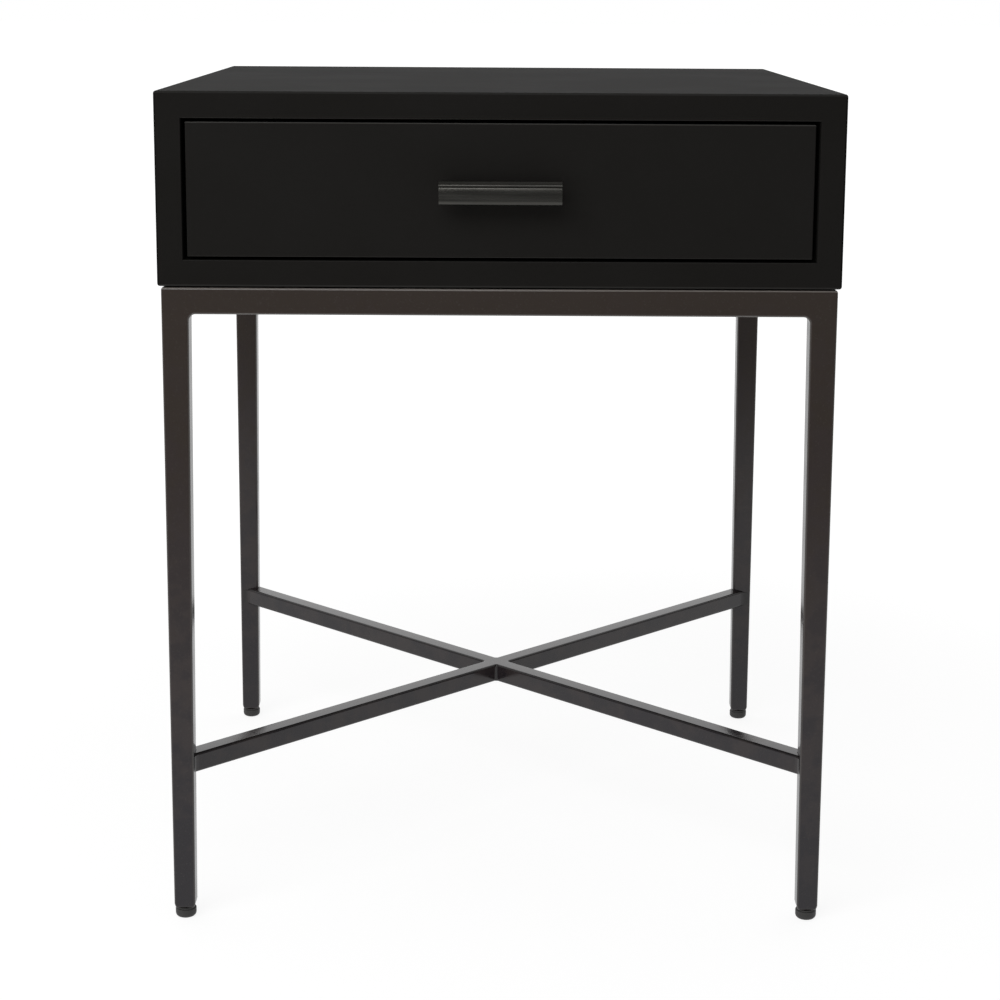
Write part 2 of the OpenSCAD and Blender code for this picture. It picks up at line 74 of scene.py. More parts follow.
def addCamera():
    yaw, pitch, roll = camera["yaw"], camera["pitch"], camera["roll"]
    ahead = Vector((math.sin(yaw) * math.cos(pitch), math.cos(yaw) * math.cos(pitch), -math.sin(pitch)))
    side = Vector((math.cos(yaw), -math.sin(yaw), 0))
    up = side.cross(ahead)
    right = math.cos(roll) * side + math.sin(roll) * up
    top = -math.sin(roll) * side + math.cos(roll) * up
    turn = Matrix((right, top, -ahead)).transposed()
    data = bpy.data.cameras.new("tableCamera")
    data.lens = camera["lens"]
    data.shift_y = camera["shiftY"]
    data.clip_end = camera["clipEnd"]
    made = bpy.data.objects.new("tableCamera", data)
    bpy.context.scene.collection.objects.link(made)
    made.matrix_world = Matrix.Translation(camera["place"]) @ turn.to_4x4()
    bpy.context.scene.camera = made


addCamera()
print("camera set")


# ---- modelling helpers

def deselectAll():
    if bpy.context.mode != "OBJECT":
        bpy.ops.object.mode_set(mode="OBJECT")
    bpy.ops.object.select_all(action="DESELECT")


def makeActive(piece):
    deselectAll()
    piece.select_set(True)
    bpy.context.view_layer.objects.active = piece


def applyPlace():
    bpy.ops.object.transform_apply(location=True, rotation=True, scale=True)


def addBlock(name, low, high):
    # a cube between two corners, with its place applied to the mesh
    deselectAll()
    low, high = Vector(low), Vector(high)
    bpy.ops.mesh.primitive_cube_add(size=1, location=(low + high) / 2)
    piece = bpy.context.object
    piece.name = piece.data.name = name
    piece.scale = high - low
    applyPlace()
    return piece


def pickFaces(piece, test):
    # goes into edit mode with the faces selected whose middle and normal pass the test
    makeActive(piece)
    bpy.ops.object.mode_set(mode="EDIT")
    bpy.ops.mesh.select_mode(type="FACE")
    bpy.ops.mesh.select_all(action="DESELECT")
    shape = bmesh.from_edit_mesh(piece.data)
    for face in shape.faces:
        if test(face.calc_center_median(), face.normal):
            face.select_set(True)
    bmesh.update_edit_mesh(piece.data)


def pickEdges(piece, test):
    # the same for edges, tested by their two ends and the angle between their faces, minus where hollow
    makeActive(piece)
    bpy.ops.object.mode_set(mode="EDIT")
    bpy.ops.mesh.select_mode(type="EDGE")
    bpy.ops.mesh.select_all(action="DESELECT")
    shape = bmesh.from_edit_mesh(piece.data)
    for edge in shape.edges:
        angle = math.degrees(edge.calc_face_angle_signed(0))
        if test(edge.verts[0].co, edge.verts[1].co, angle):
            edge.select_set(True)
    bmesh.update_edit_mesh(piece.data)


def pickAll(piece):
    makeActive(piece)
    bpy.ops.object.mode_set(mode="EDIT")
    bpy.ops.mesh.select_all(action="SELECT")


def roundPicked(width, steps):
    bpy.ops.mesh.bevel(offset=width, segments=steps, profile=0.5, affect="EDGES", clamp_overlap=False)
    bpy.ops.object.mode_set(mode="OBJECT")


def extrudePicked(move):
    bpy.ops.mesh.extrude_region_move(TRANSFORM_OT_translate={"value": move})


def addCut(point, normal):
    # lays new edges where a plane crosses the picked faces
    bpy.ops.mesh.bisect(plane_co=point, plane_no=normal, threshold=cutSnap)


def cutAway(piece, point, normal):
    # keeps what lies on the side that the normal points to, and closes the cut
    pickAll(piece)
    bpy.ops.mesh.bisect(plane_co=point, plane_no=normal, use_fill=True, clear_inner=True, threshold=cutSnap)
    bpy.ops.object.mode_set(mode="OBJECT")


def copyOf(piece, name):
    made = piece.copy()
    made.data = piece.data.copy()
    made.name = made.data.name = name
    bpy.context.scene.collection.objects.link(made)
    return made


def cleanUp(piece, smoothBelow=35):
    # merges doubles, turns the faces outwards, and shades the small roundings smooth and the flats flat
    pickAll(piece)
    bpy.ops.mesh.remove_doubles(threshold=samePlace)
    bpy.ops.mesh.normals_make_consistent(inside=False)
    bpy.ops.object.mode_set(mode="OBJECT")
    bpy.ops.object.shade_smooth_by_angle(angle=math.radians(smoothBelow))
    weighted = piece.modifiers.new("flatFaces", "WEIGHTED_NORMAL")
    weighted.keep_sharp = True
    weighted.weight = 100
    bpy.ops.object.modifier_apply(modifier=weighted.name)


def cutOut(shape, name, cuts):
    # a finished copy of a shape, cut down by planes: a point, and the normal of the side that stays
    piece = copyOf(shape, name)
    for point, normal in cuts:
        cutAway(piece, point, normal)
    cleanUp(piece)
    return piece


def drawSection(name, corners, move):
    # draws a closed outline point by point, fills it and pulls it out to a bar
    deselectAll()
    bpy.ops.mesh.primitive_plane_add(size=1 * mm, location=corners[0])
    piece = bpy.context.object
    piece.name = piece.data.name = name
    applyPlace()
    pickAll(piece)
    bpy.ops.mesh.select_mode(type="VERT")
    bpy.ops.mesh.merge(type="CENTER")
    for here, there in zip(corners, corners[1:]):
        bpy.ops.mesh.extrude_vertices_move(TRANSFORM_OT_translate={"value": Vector(there) - Vector(here)})
    bpy.ops.mesh.select_all(action="SELECT")
    bpy.ops.mesh.edge_face_add()
    extrudePicked(move)
    bpy.ops.mesh.select_all(action="SELECT")
    bpy.ops.mesh.normals_make_consistent(inside=False)
    bpy.ops.object.mode_set(mode="OBJECT")
    return piece


def joinPieces(pieces, name):
    makeActive(pieces[0])
    for piece in pieces[1:]:
        piece.select_set(True)
    bpy.ops.object.join()
    joined = bpy.context.object
    joined.name = joined.data.name = name
    return joined


def boolean(piece, cutter, how):
    # joins the other shape on, cuts it out or keeps what both share, and removes the other shape
    makeActive(piece)
    step = piece.modifiers.new("step", "BOOLEAN")
    step.operation = how
    step.solver = "EXACT"
    step.object = cutter
    bpy.ops.object.modifier_apply(modifier=step.name)
    bpy.data.objects.remove(cutter)


# ---- cabinet: one ring with an open front, cut into its four mitred panels

cabinet = {
    "edgeRound": 2 * mm,
    "edgeSteps": 4,
    "openingRound": 0.7 * mm,
    "openingSteps": 2,
    "ledge": 8 * mm,        # what the back panel laps on
    "backDepth": 6.5 * mm,  # how deep the ledge lies inside the rear edge
}


def openBox(low, high, wall):
    # a block with the ledge for the back panel, then opened right through
    centre = (low + high) / 2
    ring = addBlock("cabinetRing", low, high)
    pickFaces(ring, lambda middle, normal: normal.y > faceOn)
    bpy.ops.mesh.inset(thickness=wall - cabinet["ledge"])
    extrudePicked((0, -cabinet["backDepth"], 0))
    bpy.ops.mesh.inset(thickness=cabinet["ledge"])
    pickFaces(ring, lambda middle, normal: normal.y < -faceOn)
    bpy.ops.mesh.inset(thickness=wall)
    pickFaces(ring, lambda middle, normal: abs(normal.y) > faceOn and (middle.xz - centre.xz).length < wall)
    bpy.ops.mesh.bridge_edge_loops()
    bpy.ops.object.mode_set(mode="OBJECT")
    return ring


def roundCabinet(ring, low, high, wall):
    # the twelve outer edges, then the front edge of the opening
    ends = [low.x, high.x], [low.y, high.y], [low.z, high.z]
    inside = wall - 1 * mm

    def onRim(a, b, angle):
        on = sum(min(abs(a[i] - end) + abs(b[i] - end) for end in ends[i]) < samePlace for i in range(3))
        return on >= 2

    def onOpening(a, b, angle):
        return (
            max(a.y, b.y) < low.y + samePlace and angle > sharp
            and all(low.x + inside < p.x < high.x - inside for p in (a, b))
            and all(low.z + inside < p.z < high.z - inside for p in (a, b))
        )

    pickEdges(ring, onRim)
    roundPicked(cabinet["edgeRound"], cabinet["edgeSteps"])
    pickEdges(ring, onOpening)
    roundPicked(cabinet["openingRound"], cabinet["openingSteps"])


def makeCabinet():
    low = Vector((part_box("left_panel")[0].x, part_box("top_panel")[0].y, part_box("bottom_panel")[0].z))
    high = Vector((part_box("right_panel")[1].x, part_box("top_panel")[1].y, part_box("top_panel")[1].z))
    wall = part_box("left_panel")[1].x - low.x
    centre = (low + high) / 2
    ring = openBox(low, high, wall)
    roundCabinet(ring, low, high, wall)
    mitres = {
        "top": [((low.x, 0, high.z), (1, 0, 1)), ((high.x, 0, high.z), (-1, 0, 1)), (centre, (0, 0, 1))],
        "bottom": [((low.x, 0, low.z), (1, 0, -1)), ((high.x, 0, low.z), (-1, 0, -1)), (centre, (0, 0, -1))],
        "left": [((low.x, 0, high.z), (-1, 0, -1)), ((low.x, 0, low.z), (-1, 0, 1))],
        "right": [((high.x, 0, high.z), (1, 0, -1)), ((high.x, 0, low.z), (1, 0, 1))],
    }
    panels = {side: cutOut(ring, side + "Panel", cuts) for side, cuts in mitres.items()}
    bpy.data.objects.remove(ring)
    return panels


cabinetPanels = makeCabinet()
print("cabinet panels:", len(cabinetPanels))


# ---- drawer front

drawerFront = {"edgeRound": 0.9 * mm, "edgeSteps": 3}


def makeDrawerFront():
    front = addBlock("drawerFront", *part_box("drawer_front"))
    pickEdges(front, lambda a, b, angle: angle > sharp)
    roundPicked(drawerFront["edgeRound"], drawerFront["edgeSteps"])
    cleanUp(front)
    return front


frontPiece = makeDrawerFront()
print("drawer front made")


# ---- base frame: ring and legs as one welded shape, cut into its rails and legs at the welds

baseFrame = {
    "tubeRound": 2 * mm,
    "tubeSteps": 4,
    "weldRound": 5 * mm,      # ground weld in the corner between rail and leg
    "weldSteps": 6,
    "footWidth": 16 * mm,
    "endHeight": 4 * mm,      # ground end of a leg
    "endTaper": 0.9 * mm,
    "seamBelow": 0.02 * mm,   # the rails keep this much of the welds, so that no cut lies in their undersides
}


def frameRing(low, high):
    # a flat block, cut along the inner sides of its tubes and opened between them
    tube = high.z - low.z
    centre = (low + high) / 2
    ring = addBlock("baseFrame", low, high)
    for axis in (0, 1):
        for edge in (low[axis] + tube, high[axis] - tube):
            point, normal = centre.copy(), [0, 0, 0]
            point[axis], normal[axis] = edge, 1
            pickAll(ring)
            addCut(point, normal)
    pickFaces(ring, lambda middle, normal: abs(normal.z) > faceOn and (middle.xy - centre.xy).length < tube)
    bpy.ops.mesh.bridge_edge_loops()
    return ring


def growLegs(base, low, high, legEnd):
    # legs down from the four corners, upright outside and tapering inside, with a ground end
    tube, foot = high.z - low.z, baseFrame["footWidth"]
    taper, shrink = foot / tube, 1 - 2 * baseFrame["endTaper"] / foot
    corners = [(x, y) for x in (low.x, high.x) for y in (low.y, high.y)]

    def resizeFoot(x, y, share, about):
        def footEnd(middle, normal):
            return middle.z < legEnd + nearPlace and abs(middle.x - x) < tube and abs(middle.y - y) < tube

        pickFaces(base, footEnd)
        bpy.ops.transform.resize(value=(share, share, 1), center_override=(*about, legEnd))

    def inCorner(p):
        return min(p.x - low.x, high.x - p.x) < tube and min(p.y - low.y, high.y - p.y) < tube

    pickFaces(base, lambda middle, normal: normal.z < -faceOn and inCorner(middle))
    extrudePicked((0, 0, legEnd - low.z))
    for x, y in corners:
        resizeFoot(x, y, taper, (x, y))
    pickAll(base)
    addCut((0, 0, legEnd + baseFrame["endHeight"]), (0, 0, 1))
    for x, y in corners:
        footX = x + (foot / 2 if x == low.x else -foot / 2)
        footY = y + (foot / 2 if y == low.y else -foot / 2)
        resizeFoot(x, y, shrink, (footX, footY))


def mirrorCorner(base, centre):
    # the front left corner stands for all four, so that they come out alike
    bpy.ops.object.empty_add(location=centre)
    middle = bpy.context.object
    makeActive(base)
    mirror = base.modifiers.new("fourCorners", "MIRROR")
    mirror.mirror_object = middle
    for axis in (0, 1):
        mirror.use_axis[axis] = True
        mirror.use_bisect_axis[axis] = True
        mirror.use_bisect_flip_axis[axis] = True
    mirror.merge_threshold = nearPlace
    bpy.ops.object.modifier_apply(modifier=mirror.name)
    bpy.data.objects.remove(middle)


def cutFrame(base, low, high):
    centre = (low + high) / 2
    seam = (0, 0, low.z - baseFrame["seamBelow"])
    mitres = {
        "front": [((low.x, low.y, 0), (1, -1, 0)), ((high.x, low.y, 0), (-1, -1, 0))],
        "back": [((low.x, high.y, 0), (1, 1, 0)), ((high.x, high.y, 0), (-1, 1, 0))],
        "left": [((low.x, low.y, 0), (-1, 1, 0)), ((low.x, high.y, 0), (-1, -1, 0))],
        "right": [((high.x, low.y, 0), (1, 1, 0)), ((high.x, high.y, 0), (1, -1, 0))],
    }
    pieces = {}
    for side, cuts in mitres.items():
        pieces["rail_" + side] = cutOut(base, "rail_" + side + "_tube", [(seam, (0, 0, 1))] + cuts)
    for end, backward in (("front", -1), ("back", 1)):
        for side, outward in (("left", -1), ("right", 1)):
            name = "leg_" + end + "_" + side
            cuts = [(seam, (0, 0, -1)), (centre, (outward, 0, 0)), (centre, (0, backward, 0))]
            pieces[name] = cutOut(base, name + "_tube", cuts)
    return pieces


def makeBaseFrame():
    low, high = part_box("rail_left")[0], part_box("rail_right")[1]
    low = Vector((low.x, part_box("rail_front")[0].y, low.z))
    high = Vector((high.x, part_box("rail_back")[1].y, high.z))
    base = frameRing(low, high)
    growLegs(base, low, high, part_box("leg_front_left")[0].z)

    # the ground welds first, because they are hollow, then every outer edge
    pickEdges(base, lambda a, b, angle: angle < -sharp and abs(a.z - low.z) + abs(b.z - low.z) < samePlace)
    roundPicked(baseFrame["weldRound"], baseFrame["weldSteps"])
    pickEdges(base, lambda a, b, angle: angle > sharp)
    roundPicked(baseFrame["tubeRound"], baseFrame["tubeSteps"])
    mirrorCorner(base, (low + high) / 2)
    pieces = cutFrame(base, low, high)
    bpy.data.objects.remove(base)
    return pieces


framePieces = makeBaseFrame()
print("base frame pieces:", len(framePieces))


# ---- stretcher: crossing bars, notched for the legs and cut apart at the crossing, with their weld fillets

stretcher = {
    "barRound": 2 * mm,
    "barSteps": 4,
    "crossRound": 2.2 * mm,   # more than barRound, or the corners fold over
    "crossSteps": 3,
    "legGap": 0.08 * mm,      # between a bar's end and the leg
    "seamBeside": 0.02 * mm,  # between the long bar and the half bars
    "fillet": 3.6 * mm,
    "filletSteps": 5,
    "filletShort": 1.5 * mm,  # the fillets end this far below the bar's top and above its underside
    "filletSunk": 0.4 * mm,   # how deep a fillet's back lies in the bar
}


def turnedBlock(name, centre, turn, low, high):
    # a block drawn round its own middle, turned about Z and put in place
    piece = addBlock(name, low, high)
    piece.rotation_euler.z = turn
    piece.location = centre
    makeActive(piece)
    applyPlace()
    return piece


def crossBars(centre, turn, half, reach):
    # two bars through each other, rounded in the crossing's hollow corners and along all edges
    low, high = (-reach, -half, -half), (reach, half, half)
    cross = turnedBlock("crossBars", centre, turn, low, high)
    boolean(cross, turnedBlock("bar", centre, -turn, low, high), "UNION")
    pickEdges(cross, lambda a, b, angle: angle < -sharp)
    roundPicked(stretcher["crossRound"], stretcher["crossSteps"])
    pickEdges(cross, lambda a, b, angle: angle > sharp)
    roundPicked(stretcher["barRound"], stretcher["barSteps"])
    return cross


def notchForLegs(cross, centre, seat, half, tube):
    # seat is the inner corner of a leg, seen from the crossing
    gap = stretcher["legGap"]
    for x in (-1, 1):
        for y in (-1, 1):
            acrossX = sorted((x * (seat.x - gap), x * (seat.x + 2 * tube)))
            acrossY = sorted((y * (seat.y - gap), y * (seat.y + 2 * tube)))
            stub = addBlock(
                "stub",
                centre + Vector((acrossX[0], acrossY[0], -2 * half)),
                centre + Vector((acrossX[1], acrossY[1], 2 * half)),
            )
            boolean(cross, stub, "DIFFERENCE")


def makeFillet(centre, turn, half, seat, corner, along):
    # the hollow weld between a bar's side and the leg face that looks along X or Y
    x, y = corner
    width, gap, steps = stretcher["fillet"], stretcher["legGap"], stretcher["filletSteps"]
    height = half - stretcher["filletShort"]
    back = -Vector((x * math.cos(turn), y * math.sin(turn), 0))
    if along == "x":
        knee = Vector((x * (seat.x - gap), y * (seat.y + half / math.cos(turn)), 0))
        face = Vector((0, y, 0))
    else:
        knee = Vector((x * (seat.x + half / math.sin(turn)), y * (seat.y - gap), 0))
        face = Vector((x, 0, 0))
    inward = (back * 0.5 - face).normalized() * stretcher["filletSunk"]
    first, last = back * width, face * width
    shares = [step / steps for step in range(steps + 1)]
    arc = [first * (1 - share) ** 2 + last * share ** 2 for share in shares]
    base = centre + knee - Vector((0, 0, height))
    outline = [base + point for point in (first + inward, *arc, inward)]
    return drawSection("fillet", outline, (0, 0, 2 * height))


def makeStretcher():
    low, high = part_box("stretcher_long")
    outerLow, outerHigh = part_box("leg_front_left")[0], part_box("leg_back_right")[1]
    centre = (outerLow + outerHigh) / 2
    centre.z = (low.z + high.z) / 2
    half = (high.z - low.z) / 2
    tube = outerHigh.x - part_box("leg_back_right")[0].x
    turn = math.atan2(high.y - low.y, high.x - low.x)
    seat = Vector((high.x - centre.x - half / math.sin(turn), high.y - centre.y - half / math.cos(turn)))
    reach = seat.length + 2 * half
    cross = crossBars(centre, turn, half, reach)
    notchForLegs(cross, centre, seat, half, tube)

    pieces = {}
    side = half + 3 * stretcher["crossRound"]
    for name, along in (("stretcher_half_front", -1), ("stretcher_half_back", 1)):
        ends = sorted((along * (half + stretcher["seamBeside"]), along * 2 * reach))
        region = turnedBlock("region", centre, turn, (-side, ends[0], -3 * half), (side, ends[1], 3 * half))
        piece = copyOf(cross, name + "_bar")
        boolean(piece, copyOf(region, "keep"), "INTERSECT")
        boolean(cross, region, "DIFFERENCE")
        pieces[name] = piece
    pieces["stretcher_long"] = cross

    owners = {
        (-1, -1): "stretcher_long",
        (1, 1): "stretcher_long",
        (1, -1): "stretcher_half_front",
        (-1, 1): "stretcher_half_back",
    }
    for corner, owner in owners.items():
        welds = [makeFillet(centre, turn, half, seat, corner, along) for along in ("x", "y")]
        pieces[owner] = joinPieces([pieces[owner]] + welds, owner + "_bar")
    for piece in pieces.values():
        cleanUp(piece)
    return pieces


stretcherPieces = makeStretcher()
print("stretcher pieces:", len(stretcherPieces))


# ---- glides: a turned pad with a rounded tread, and a neck up to the leg

glide = {
    "steps": 48,
    "treadRound": 3.2 * mm,
    "treadSteps": 5,
    "rimRound": 0.5 * mm,
    "rimSteps": 2,
    "neckRadius": 7.2 * mm,
    "neckHeight": 1.2 * mm,
    "smoothBelow": 40,
}


def makeGlide(name, legName):
    low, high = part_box(name)
    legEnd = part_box(legName)[0].z
    radius = (high.x - low.x) / 2
    centre = (low + high) / 2
    pad = legEnd - glide["neckHeight"]
    deselectAll()
    bpy.ops.mesh.primitive_cylinder_add(
        vertices=glide["steps"], radius=radius, depth=pad, location=(centre.x, centre.y, pad / 2)
    )
    piece = bpy.context.object
    piece.name = piece.data.name = name + "_glide"
    applyPlace()
    pickEdges(piece, lambda a, b, angle: angle > sharp and max(a.z, b.z) < samePlace)
    roundPicked(glide["treadRound"], glide["treadSteps"])
    pickEdges(piece, lambda a, b, angle: angle > sharp and min(a.z, b.z) > pad - samePlace)
    roundPicked(glide["rimRound"], glide["rimSteps"])
    pickFaces(piece, lambda middle, normal: normal.z > faceOn and middle.z > pad - samePlace)
    bpy.ops.mesh.inset(thickness=radius - glide["rimRound"] - glide["neckRadius"])
    extrudePicked((0, 0, glide["neckHeight"]))
    bpy.ops.object.mode_set(mode="OBJECT")
    cleanUp(piece, glide["smoothBelow"])
    return piece


glidePieces = {
    "foot_" + corner: makeGlide("foot_" + corner, "leg_" + corner)
    for corner in ("front_left", "front_right", "back_left", "back_right")
}
print("glides:", len(glidePieces))


# ---- handle bar: drawn, with a rolled lower edge, a groove and a bead

handle = {
    "flatTop": 6.2 * mm,      # heights below the top edge: here the flat front starts to lean back
    "grooveLow": 4.2 * mm,
    "grooveHigh": 3.6 * mm,
    "beadHigh": 1.8 * mm,
    "lean": 0.5 * mm,         # depths behind the flat front: of the lean's upper edge
    "beadDepth": 1 * mm,
    "grooveDepth": 2.2 * mm,
    "ledgeDepth": 3 * mm,
    "rounds": {               # radius and steps, by corner of the section
        "roll": (4 * mm, 8),
        "shoulder": (1.9 * mm, 8),
        "beadLow": (0.85 * mm, 4),
        "beadHigh": (0.85 * mm, 4),
        "lip": (0.3 * mm, 3),
        "backLow": (0.5 * mm, 2),
        "backHigh": (0.5 * mm, 2),
    },
    "endRound": (0.25 * mm, 2),
}


def makeHandleBar():
    low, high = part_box("handle_bar")
    front, top = low.y, high.z
    section = {
        "backLow": (high.y, low.z),
        "roll": (front, low.z),
        "shoulder": (front, top - handle["flatTop"]),
        "lip": (front + handle["lean"], top - handle["grooveLow"]),
        "grooveLow": (front + handle["grooveDepth"], top - handle["grooveLow"]),
        "grooveHigh": (front + handle["grooveDepth"], top - handle["grooveHigh"]),
        "beadLow": (front + handle["beadDepth"], top - handle["grooveHigh"]),
        "beadHigh": (front + handle["beadDepth"], top - handle["beadHigh"]),
        "ledgeLow": (front + handle["ledgeDepth"], top - handle["beadHigh"]),
        "ledgeHigh": (front + handle["ledgeDepth"], top),
        "backHigh": (high.y, top),
    }
    bar = drawSection("handleBar", [(low.x, y, z) for y, z in section.values()], (high.x - low.x, 0, 0))

    def roundCorner(corner, width, steps):
        spot = Vector(section[corner])

        def runsAlong(a, b, angle):
            return abs(a.x - b.x) > 1 * mm and all((p.yz - spot).length < nearPlace for p in (a, b))

        pickEdges(bar, runsAlong)
        roundPicked(width, steps)

    for corner, (width, steps) in handle["rounds"].items():
        roundCorner(corner, width, steps)
    pickEdges(bar, lambda a, b, angle: angle > sharp and abs(a.x - b.x) < samePlace)
    roundPicked(*handle["endRound"])
    cleanUp(bar)
    return bar


handleBarPiece = makeHandleBar()
print("handle bar made")


# ---- handle posts: turned, and waisted between two shoulders

post = {
    "steps": 40,
    "frontShoulder": 2.2 * mm,
    "rearShoulder": 3 * mm,
    "rearCollar": 1.6 * mm,   # the straight part behind the rear shoulder
    "waist": 0.78,
    "smoothBelow": 50,
}


def makeHandlePost(x, radius, low, high):
    height = (low.z + high.z) / 2
    waistEnds = (low.y + post["frontShoulder"], high.y - post["rearShoulder"])
    deselectAll()
    bpy.ops.mesh.primitive_cylinder_add(
        vertices=post["steps"], radius=radius, depth=high.y - low.y,
        location=(x, (low.y + high.y) / 2, height), rotation=(math.pi / 2, 0, 0),
    )
    piece = bpy.context.object
    applyPlace()
    pickAll(piece)
    for y in (*waistEnds, high.y - post["rearCollar"]):
        bpy.ops.mesh.select_all(action="SELECT")
        addCut((0, y, 0), (0, 1, 0))
    for y in waistEnds:
        shape = bmesh.from_edit_mesh(piece.data)
        for vertex in shape.verts:
            vertex.select_set(abs(vertex.co.y - y) < samePlace)
        shape.select_flush_mode()
        bmesh.update_edit_mesh(piece.data)
        bpy.ops.transform.resize(value=(post["waist"], 1, post["waist"]), center_override=(x, y, height))
    bpy.ops.object.mode_set(mode="OBJECT")
    return piece


def makeHandlePosts():
    low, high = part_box("handle_posts")
    radius = (high.z - low.z) / 2
    posts = [makeHandlePost(x, radius, low, high) for x in (low.x + radius, high.x - radius)]
    joined = joinPieces(posts, "handlePosts")
    cleanUp(joined, post["smoothBelow"])
    return joined


handlePostPiece = makeHandlePosts()
print("handle posts made")


# ---- materials: small helpers and the effects that several finishes share

def feed(tree, socket, value):
    # links another node's output to a socket, or sets a plain value on it
    if isinstance(value, bpy.types.NodeSocket):
        tree.links.new(value, socket)
    else:
        socket.default_value = value


def addNode(tree, kind, inputs=None, **settings):
    # a node with its properties, and its sockets linked or set
    node = tree.nodes.new(kind)
    for label, value in settings.items():
        setattr(node, label, value)
    for label, value in (inputs or {}).items():
        feed(tree, node.inputs[label], value)
    return node


def span(tree, value, low, high, start=0.0, end=1.0):
    # moves a value from start..end to low..high, with a soft shoulder
    return addNode(
        tree, "ShaderNodeMapRange",
        {"Value": value, "From Min": start, "From Max": end, "To Min": low, "To Max": high},
        interpolation_type="SMOOTHSTEP",
    ).outputs["Result"]


def calculate(tree, operation, *values):
    node = addNode(tree, "ShaderNodeMath", operation=operation)
    for socket, value in zip(node.inputs, values):
        feed(tree, socket, value)
    return node.outputs[0]


def times(tree, first, second):
    return calculate(tree, "MULTIPLY", first, second)


def axes(tree, vector):
    return addNode(tree, "ShaderNodeSeparateXYZ", {"Vector": vector}).outputs


def mixColour(tree, factor, first, second):
    node = addNode(tree, "ShaderNodeMix", {"Factor": factor}, data_type="RGBA")
    for socket, value in ((node.inputs[6], first), (node.inputs[7], second)):
        feed(tree, socket, value if isinstance(value, bpy.types.NodeSocket) else (*value, 1))
    return node.outputs[2]


def tint(tree, paint, mask, share, tone):
    # lays a tone over the paint where the mask is on, at a share of its strength
    return mixColour(tree, times(tree, mask, share), paint, tone)


def ramp(tree, value, stops):
    node = addNode(tree, "ShaderNodeValToRGB", {"Fac": value})
    steps = node.color_ramp.elements
    while len(steps) < len(stops):
        steps.new(0.5)
    for step, (position, colour) in zip(steps, stops):
        step.position, step.color = position, (*colour, 1)
    return node.outputs["Color"]


def stretched(tree, place, scale):
    return addNode(tree, "ShaderNodeMapping", {"Vector": place, "Scale": scale}).outputs["Vector"]


def noise(tree, place, scale, detail=2.0, rough=0.5):
    return addNode(
        tree, "ShaderNodeTexNoise", {"Vector": place, "Scale": scale, "Detail": detail, "Roughness": rough}
    ).outputs["Fac"]


def startGroup(name, inputs, outputs):
    group = bpy.data.node_groups.new(name, "ShaderNodeTree")
    for label, value in inputs.items():
        kind = "NodeSocketFloat" if isinstance(value, (int, float)) else "NodeSocketVector"
        group.interface.new_socket(name=label, in_out="INPUT", socket_type=kind).default_value = value
    for label in outputs:
        group.interface.new_socket(name=label, in_out="OUTPUT", socket_type="NodeSocketFloat")
    return group, group.nodes.new("NodeGroupInput").outputs, group.nodes.new("NodeGroupOutput").inputs


def placeGroup(tree, group, inputs):
    node = tree.nodes.new("ShaderNodeGroup")
    node.node_tree = group
    for label, value in inputs.items():
        feed(tree, node.inputs[label], value)
    return node.outputs


def makeFineGrain():
    # the fine skin of a sprayed or moulded surface, and slow clouds in its tone
    inputs = {"Place": (0, 0, 0), "Grain": 900.0, "Clouds": 25.0}
    group, given, wanted = startGroup("fineGrain", inputs, ("Height", "Cloud", "Speck"))
    skin = noise(group, given["Place"], given["Grain"], detail=3, rough=0.55)
    clouds = noise(group, given["Place"], given["Clouds"], detail=4, rough=0.6)
    specks = noise(group, given["Place"], times(group, given["Grain"], 0.6), detail=1)
    group.links.new(skin, wanted["Height"])
    group.links.new(span(group, clouds, 0, 1, start=0.32, end=0.68), wanted["Cloud"])
    group.links.new(span(group, specks, 0, 1, start=0.62, end=0.74), wanted["Speck"])
    return group


def makeEdgeMask():
    # 1 where the surface turns from one flat side to the next, 0 on the flats
    inputs = {"Facing": (0, 0, 1), "Full": 0.78}
    group, given, wanted = startGroup("edgeMask", inputs, ("Mask", "Upward", "Downward"))
    size = addNode(group, "ShaderNodeVectorMath", {0: given["Facing"]}, operation="ABSOLUTE").outputs[0]
    parts = axes(group, size)
    most = calculate(group, "MAXIMUM", calculate(group, "MAXIMUM", parts[0], parts[1]), parts[2])
    mask = span(group, most, 1, 0, start=given["Full"], end=0.995)
    height = axes(group, given["Facing"])[2]
    up = span(group, height, 0, 1, start=0.02, end=0.2)
    down = span(group, height, 1, 0, start=-0.2, end=-0.02)
    group.links.new(mask, wanted["Mask"])
    group.links.new(times(group, mask, up), wanted["Upward"])
    group.links.new(times(group, mask, down), wanted["Downward"])
    return group


